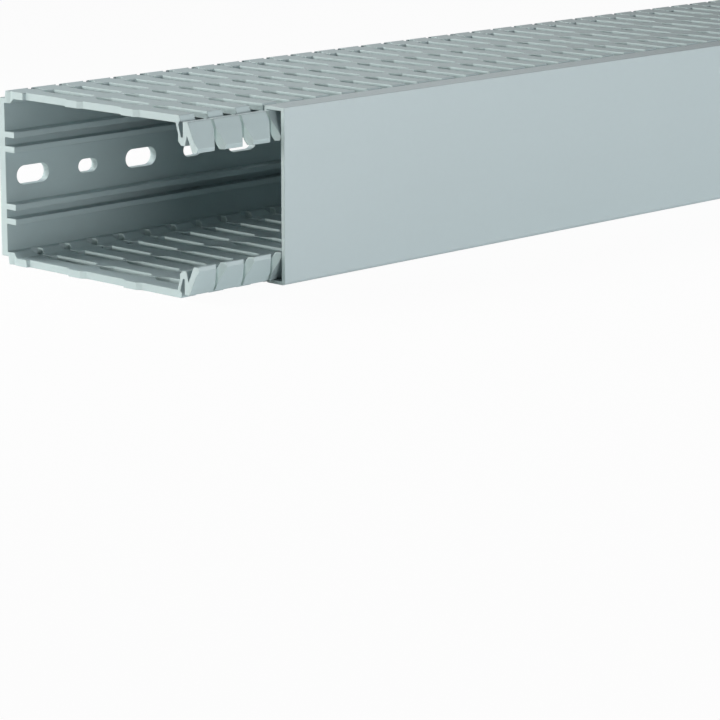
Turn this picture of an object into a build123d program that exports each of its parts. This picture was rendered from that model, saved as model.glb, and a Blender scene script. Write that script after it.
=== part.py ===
from build123d import *
import os

# Slotted wire duct lying on one side wall, with its clip-on cover slid along to show the fingers.
# Millimetres. X runs along the duct, Y from the cover (front) to the base (back), Z is up.

# Sizes of the stock
length = 500.0  # cut length of duct and of cover
width = 60.0  # over the two slotted walls
depth = 100.0  # back of the base to front of the cover
base_t = 3.0  # base plate
wall_t = 2.5  # slotted walls
cover_out = 38.0  # how far the cover stands past the duct's far end
play = 0.15  # between the cover and the edges it clips over

# Corners where the walls meet the base
step_in = 2.7  # the base is this much narrower than the walls, on each side
step_d = 3.4  # depth of that step, from the back of the base
step_lean = 0.4
block_h = 1.7  # thickened foot of the wall, inside
block_d = 5.5  # its depth, from the back of the base
block_lean = 2.6

# Slots in the walls, one pattern for both
pitch = 12.5
slot_w = 6.0  # open width between two fingers
slit_w = 1.0  # gap left at the teeth, the necks and the lips
first_slot = -1.75  # middle of the first slot, which the saw cut through at the near end
root_r = 2.35  # hole with eight sides at the root of each slot
root_mid = 5.8  # its middle, from the back of the base
neck_end = 12.5  # end of the narrow neck, from the back of the base
neck_lean = 0.6  # the slot widens over this length
first_row = 33.7  # start of the first row of teeth, from the back of the base
row_step = 27.8
tooth_in, tooth_flat, tooth_out = 1.7, 3.2, 3.7  # steep side, tip and sloped side of a tooth
mouth_d = 2.6  # the slit opens out over this length at the lips' front
mouth_w = 5.4  # and is this wide there

# Long holes through the base, large and small ones by turns
hole_step = 50.0
big_l, big_w = 14.6, 6.7
small_l, small_w = 8.8, 4.9
first_hole = 12.1  # middle of the first large hole, from the duct's near end

# Rails for wire clips inside the base, two pairs
rail_t, rail_h = 2.0, 4.8
rail_in, rail_out = 9.95, 15.0  # from the middle of the base

# Cover
cover_t = 1.5  # front plate
flange_t = 1.2  # the edges folded back over the walls
cover_in = 0.3  # the cover lies this far in from each wall's face
catch_t = 1.05  # inward edge at the back of each flange
catch_h = 1.9  # how far it reaches into the groove
cover_r = 1.2  # rounded front corners

# Front edge of a wall in section: the wall folds in, comes back up to a crest that leaves a
# groove for the cover's edge, and goes down again as a springy lip behind the cover.
# The heights are measured in from the wall's face.
fold_lean, fold_h = 2.2, 9.5
edge_t = 2.45  # thickness of fold and lip, along the duct's depth
groove_w, groove_h = 0.9, 6.8
crest_w = 2.3
crest_h = cover_in + flange_t + play
lip_lean, lip_h, tip_h = 3.9, 10.0, 11.4
notch_h = 6.0  # bottom of the notch between crest and lip
toe_h, toe_lean = 7.3, 0.9

half = width / 2
middle = depth / 2
duct_x = -(length + cover_out) / 2
cover_x = duct_x + cover_out
lip_front = depth - cover_t - play
crest_back = lip_front - lip_lean - crest_w
fold_end = crest_back - groove_w
fold_start = fold_end - fold_lean
lip_slope = lip_lean / (lip_h - crest_h)
fold_slope = fold_lean / groove_h


def back(distance):
    """Y of a point this far in front of the back of the base."""
    return middle - distance


# Half of the duct's section, from the back of the base round to its inside. Each pair is the
# distance from the back of the base and the height above the middle of the duct.
hook = [
    (fold_start, 0.0),
    (fold_end, groove_h),
    (crest_back, groove_h),
    (crest_back, crest_h),
    (lip_front - lip_lean, crest_h),
    (lip_front, lip_h),
    (lip_front - 0.4, tip_h),
    (lip_front - lip_lean - edge_t + lip_slope * (tip_h - crest_h), tip_h),
    (lip_front - lip_lean - edge_t + lip_slope * (notch_h - crest_h), notch_h),
    (crest_back + toe_lean, fold_h),
    (fold_end, fold_h),
    (fold_start - edge_t + fold_slope * toe_h, toe_h),
    (fold_start - edge_t + fold_slope * wall_t, wall_t),
]
half_section = [
    (0.0, half - step_in),
    (step_d, half - step_in),
    (step_d + step_lean, half),
]
half_section += [(far, half - inward) for far, inward in hook]
half_section += [
    (block_d + block_lean, half - wall_t),
    (block_d, half - wall_t - block_h),
    (base_t, half - wall_t - block_h),
]
for rail in (rail_out, rail_in):
    half_section += [
        (base_t, rail + rail_t / 2),
        (base_t + rail_h, rail + rail_t / 2),
        (base_t + rail_h, rail - rail_t / 2),
        (base_t, rail - rail_t / 2),
    ]
section_points = [(back(far), up) for far, up in half_section]
section_points += [(y, -up) for y, up in reversed(section_points)]

# Half width of a slot at each distance from the back of the base. The fingers carry rows of
# teeth, steep towards the base and sloped towards the cover, so wires go in easily and stay in.
slot_end = fold_start + 0.5
tooth_l = tooth_in + tooth_flat + tooth_out
rows = [first_row + row_step * n for n in range(20)]
slot_half = [
    (root_mid, slit_w / 2),
    (neck_end, slit_w / 2),
    (neck_end + neck_lean, slot_w / 2),
]
for row in [row for row in rows if row + tooth_l < slot_end]:
    slot_half += [
        (row, slot_w / 2),
        (row + tooth_in, slit_w / 2),
        (row + tooth_in + tooth_flat, slit_w / 2),
        (row + tooth_l, slot_w / 2),
    ]
slot_half += [
    (slot_end, slot_w / 2),
    (slot_end + 0.8, slit_w / 2),
    (lip_front - mouth_d, slit_w / 2),
    (lip_front + 0.2, mouth_w / 2),
    (depth + 1.0, mouth_w / 2),
]
slot_points = [(wide, back(far)) for far, wide in slot_half]
slot_points += [(-wide, y) for wide, y in reversed(slot_points)]
slot_count = int((length - first_slot) / pitch) + 1
last_slot = duct_x + first_slot + pitch * (slot_count - 1)
hole_count = int((length - first_hole) / hole_step) + 1

with BuildPart() as duct_trough:
    with BuildSketch(Plane.YZ.offset(duct_x).shift_origin((duct_x, 0, half))):
        with BuildLine():
            Polyline(*section_points, close=True)
        make_face()
    extrude(amount=length)

    # Slots through both walls. The cutters stop short of the rails.
    slot_row = [(duct_x + first_slot + pitch * n, 0) for n in range(slot_count + 1)]
    for level in (-1.0, half + rail_out + rail_t):
        with BuildSketch(Plane.XY.offset(level)):
            with Locations(*slot_row):
                Polygon(*slot_points, align=None)
                with Locations((0, back(root_mid))):
                    RegularPolygon(root_r, 8)
            # No scrap is left on the far side of a slot that the saw cut through.
            with Locations((last_slot, back(root_mid))):
                Rectangle(slot_w / 2, depth, align=(Align.MIN, Align.MAX))
        extrude(amount=half - rail_out - rail_t + 1.0, mode=Mode.SUBTRACT)

    # Long holes through the base.
    big_row = [(duct_x + first_hole + hole_step * n, 0) for n in range(hole_count)]
    small_row = [(x + hole_step / 2, y) for x, y in big_row]
    with BuildSketch(Plane.XZ.offset(-middle - 1).shift_origin((0, middle + 1, half))):
        with Locations(*big_row):
            SlotOverall(big_l, big_w)
        with Locations(*small_row):
            SlotOverall(small_l, small_w)
    extrude(amount=base_t + 2.0, mode=Mode.SUBTRACT)

# The cover's edges hook into the grooves behind the crests.
cover_half = half - cover_in
catch_front = crest_back - 2 * play
catch_back = catch_front - catch_t
cover_section = [
    (depth, cover_half),
    (catch_back, cover_half),
    (catch_back, cover_half - flange_t - catch_h),
    (catch_front, cover_half - flange_t - catch_h),
    (catch_front, cover_half - flange_t),
    (depth - cover_t, cover_half - flange_t),
]
cover_points = [(back(far), up) for far, up in cover_section]
cover_points += [(y, -up) for y, up in reversed(cover_points)]

with BuildPart() as cover:
    with BuildSketch(Plane.YZ.offset(cover_x).shift_origin((cover_x, 0, half))) as cover_sketch:
        with BuildLine():
            Polyline(*cover_points, close=True)
        make_face()
        front_corners = cover_sketch.vertices().sort_by(Axis.Y)[:2]
        fillet(front_corners, radius=cover_r)
    extrude(amount=length)

duct_trough.part.label = "duct_trough"
cover.part.label = "cover"

os.makedirs("parts", exist_ok=True)
export_step(duct_trough.part, "parts/duct_trough.step")
export_step(cover.part, "parts/cover.step")
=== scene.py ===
import math

import bmesh
import bpy
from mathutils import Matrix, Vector


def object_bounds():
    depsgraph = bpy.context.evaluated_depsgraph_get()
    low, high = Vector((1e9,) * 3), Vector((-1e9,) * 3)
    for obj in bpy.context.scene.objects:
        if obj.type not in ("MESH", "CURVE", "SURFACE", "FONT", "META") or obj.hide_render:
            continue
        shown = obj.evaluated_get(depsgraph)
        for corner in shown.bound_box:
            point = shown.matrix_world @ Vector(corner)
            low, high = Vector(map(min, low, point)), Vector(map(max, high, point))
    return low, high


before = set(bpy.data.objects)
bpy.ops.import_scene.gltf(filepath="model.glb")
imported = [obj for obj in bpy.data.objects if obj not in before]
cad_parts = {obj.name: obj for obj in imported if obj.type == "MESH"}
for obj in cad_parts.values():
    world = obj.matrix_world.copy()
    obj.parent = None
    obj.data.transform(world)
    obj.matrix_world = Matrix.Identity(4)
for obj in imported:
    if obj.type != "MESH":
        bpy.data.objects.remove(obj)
cad_low, cad_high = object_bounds()

# Duct trough: one extruded length of hard grey PVC, with the slots and the holes punched
# afterwards. The surface is smooth from the die, with faint lines along the length, and the
# sawn and punched faces are rougher. Faces that look along X are also painted paler: partly
# the whitened cut, partly a painted highlight for the light that falls on them.
MM = 0.001  # lengths are in metres


class Value:
    """A socket in a node tree, for maths written as plain expressions."""

    def __init__(self, tree, socket=None):
        self.tree, self.socket = tree, socket

    def node(self, kind, *inputs, out=0, **settings):
        """Any node: its settings first, then its inputs in order, or by name in a dict."""
        made = self.tree.nodes.new(kind)
        for name, setting in settings.items():
            setattr(made, name, setting)
        for place, given in enumerate(inputs):
            pairs = given.items() if isinstance(given, dict) else [(place, given)]
            for where, what in pairs:
                if isinstance(what, Value):
                    self.tree.links.new(what.socket, made.inputs[where])
                else:
                    made.inputs[where].default_value = what
        return Value(self.tree, made.outputs[out])

    def feed(self, end, name):
        """Link this value to the named input of a node that the tree already has."""
        self.tree.links.new(self.socket, end.inputs[name])

    def math(self, operation, *inputs):
        return self.node("ShaderNodeMath", *inputs, operation=operation)

    def __add__(self, other):
        return self.math("ADD", self, other)

    __radd__ = __add__

    def __sub__(self, other):
        return self.math("SUBTRACT", self, other)

    def __rsub__(self, other):
        return self.math("SUBTRACT", other, self)

    def __mul__(self, other):
        return self.math("MULTIPLY", self, other)

    __rmul__ = __mul__

    def between(self, low, high):
        """0 below low, 1 above high, smooth between them."""
        return self.node("ShaderNodeMapRange", self, low, high, 0.0, 1.0,
                         interpolation_type="SMOOTHSTEP")

    def mix(self, first, second):
        """Colour first where this value is 0, second where it is 1."""
        # A Mix node's sockets share their names, so its colour sockets go by number.
        return self.node("ShaderNodeMix", {0: self, 6: first, 7: second},
                         out=2, data_type="RGBA")


def pvc(name, base, pale_and_lit, streak):
    """Hard PVC: lines along X, a fine mottle, and cut faces paler, partly as a painted
    highlight.
    """
    material = bpy.data.materials.new(name)
    material.use_nodes = True
    shader = material.node_tree.nodes["Principled BSDF"]
    start = Value(material.node_tree)
    place = start.node("ShaderNodeTexCoord", out="Object")

    # Extrusion lines: noise stretched far along the duct. The mottle is fine, the cloud broad.
    stretched = start.node("ShaderNodeMapping", {"Vector": place, "Scale": (0.6, 260.0, 260.0)})
    lines = start.node("ShaderNodeTexNoise", {"Vector": stretched, "Scale": 1.0, "Detail": 3.0})
    mottle = start.node("ShaderNodeTexNoise", {"Vector": place, "Scale": 420.0, "Detail": 4.0})
    cloud = start.node("ShaderNodeTexNoise", {"Vector": place, "Scale": 9.0, "Detail": 2.0})

    # Sawn and punched faces look along X. This mask makes them rougher and paler; the paleness
    # is partly the whitened cut and partly a painted highlight.
    facing = start.node("ShaderNodeNewGeometry", out="Normal")
    across = start.node("ShaderNodeSeparateXYZ", facing, out="X")
    cut_and_lit = across.math("ABSOLUTE", across).between(0.4, 0.75)

    spread = 0.12
    darker = [part * (1.0 - spread) for part in base] + [1.0]
    lighter = [part * (1.0 + spread) for part in base] + [1.0]
    shade = (lines - 0.5) * streak + (mottle - 0.5) * 0.10 + (cloud - 0.5) * 0.14
    skin = (shade + 0.5).mix(darker, lighter)
    # Faces along X get the pale colour: partly whitened cut, partly a painted highlight.
    cut_and_lit.mix(skin, list(pale_and_lit) + [1.0]).feed(shader, "Base Color")

    skin_rough, line_rough, cut_rough = 0.46, 0.16, 0.16
    rough = skin_rough + (lines - 0.5) * line_rough + cut_and_lit * cut_rough
    rough.feed(shader, "Roughness")

    # The edges are rounded by the light alone, and the cut faces carry more of the mottle.
    height = (lines - 0.5) * 0.5 + (mottle - 0.5) * (0.35 + cut_and_lit * 0.8)
    rounded = start.node("ShaderNodeBevel", {"Radius": 0.45 * MM}, samples=6)
    bump = start.node("ShaderNodeBump", {"Strength": 0.12, "Distance": 0.4 * MM,
                                         "Height": height, "Normal": rounded})
    bump.feed(shader, "Normal")
    shader.inputs["IOR"].default_value = 1.5
    return material


def dress(piece, material):
    piece.data.materials.clear()
    piece.data.materials.append(material)


# The pale colour on the faces along X is partly a painted highlight.
trough_pvc = pvc("duct_pvc", base=(0.44, 0.54, 0.555), pale_and_lit=(0.63, 0.75, 0.74), streak=0.16)
dress(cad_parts["duct_trough"], trough_pvc)

# Cover: a second extruded strip of the same PVC, with its two edges folded back to clip over
# the walls. Its broad front is the smoothest face of the whole duct.
# Its pale colour on the faces along X is partly a painted highlight.
cover_pvc = pvc("cover_pvc", base=(0.475, 0.565, 0.585), pale_and_lit=(0.6, 0.7, 0.69), streak=0.07)
dress(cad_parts["cover"], cover_pvc)

# Floor: a wide pale sheet under the duct, which isn't part of it. Seen straight by the camera
# it is nearly plain white, and it still holds the duct's soft shadow.
WHITE = (1.0, 1.0, 1.0, 1.0)


def shown_white(start, mirror):
    """1 in the camera's own view, mirror in a reflection, and 0 for light on the duct."""
    seen = start.node("ShaderNodeLightPath", out="Is Camera Ray")
    mirrored = start.node("ShaderNodeLightPath", out="Is Glossy Ray")
    return seen.math("MAXIMUM", seen, mirrored * mirror)


shape = bmesh.new()
bmesh.ops.create_grid(shape, x_segments=1, y_segments=1, size=6.0)
floor_mesh = bpy.data.meshes.new("floor")
shape.to_mesh(floor_mesh)
shape.free()
floor = bpy.data.objects.new("floor", floor_mesh)
bpy.context.scene.collection.objects.link(floor)

paper = bpy.data.materials.new("floor_paper")
paper.use_nodes = True
sheet = Value(paper.node_tree)
lit = paper.node_tree.nodes["Principled BSDF"]
lit.inputs["Base Color"].default_value = (0.9, 0.9, 0.9, 1.0)
lit.inputs["Roughness"].default_value = 0.9
lit.inputs["Specular IOR Level"].default_value = 0.1
surface = Value(paper.node_tree, lit.outputs["BSDF"])
glow = sheet.node("ShaderNodeEmission", WHITE, 1.0)
share = shown_white(sheet, mirror=0.3) * 0.96
finish = sheet.node("ShaderNodeMixShader", share, surface, glow)
finish.feed(paper.node_tree.nodes["Material Output"], "Surface")
floor_mesh.materials.append(paper)


# Light: soft lamps in front for the cover and for the open end, a low one along the duct that
# catches the sawn and punched faces, two above it, and a dim even room around them.
def lamp(name, place, target, width, height, watts):
    """An oval lamp of this width and height that stands at place and faces target."""
    light = bpy.data.lights.new(name, "AREA")
    light.shape = "ELLIPSE"
    light.size, light.size_y = width, height
    light.energy = watts
    stand = bpy.data.objects.new(name, light)
    stand.location = place
    stand.rotation_euler = (Vector(target) - Vector(place)).to_track_quat("-Z", "Y").to_euler()
    bpy.context.scene.collection.objects.link(stand)


lamp("front_lamp", (0.7, -1.6, 0.3), (0.0, 0.0, 0.03), 0.5, 0.5, 14.8)
lamp("near_lamp", (-0.37, -0.95, 0.09), (-0.2, 0.0, 0.03), 0.6, 0.16, 2.6)
lamp("end_lamp", (-1.8, 0.1, 0.24), (-0.25, 0.0, 0.03), 0.4, 0.24, 9.5)
lamp("top_lamp", (0.9, 0.9, 0.9), (0.0, 0.0, 0.06), 0.5, 0.5, 2.2)
lamp("corner_lamp", (-0.36, 0.36, 0.43), (-0.22, 0.0, 0.06), 0.3, 0.3, 2.3)

room = bpy.data.worlds.new("room")
room.use_nodes = True
bpy.context.scene.world = room
air = Value(room.node_tree)
dim = air.node("ShaderNodeBackground", WHITE, 0.04)
plain = air.node("ShaderNodeBackground", WHITE, 1.0)
walls = air.node("ShaderNodeMixShader", shown_white(air, mirror=0.12), dim, plain)
walls.feed(room.node_tree.nodes["World Output"], "Surface")

# Camera: a long lens low in front of the open end, as in the photograph. Its angle, place and
# lens were fitted to the duct's corners, slots and holes there.
photo_side = 720  # pixels
focal_length = 3171.7  # pixels
sensor = 36.0  # millimetres
azimuth, elevation = math.radians(46.01), math.radians(12.66)
distance = 1083.8 * MM
near_end, front = cad_low[0], cad_low[1]
aim = Vector((near_end + 73.8 * MM, front, -30.7 * MM))
toward = Vector((-math.sin(azimuth) * math.cos(elevation),
                 -math.cos(azimuth) * math.cos(elevation),
                 math.sin(elevation)))
camera = bpy.data.cameras.new("camera")
camera.sensor_width = sensor
camera.lens = focal_length / photo_side * sensor
viewer = bpy.data.objects.new("camera", camera)
viewer.location = aim + toward * distance
viewer.rotation_euler = (-toward).to_track_quat("-Z", "Y").to_euler()
bpy.context.scene.collection.objects.link(viewer)
bpy.context.scene.camera = viewer
bpy.context.scene.view_settings.view_transform = "Standard"
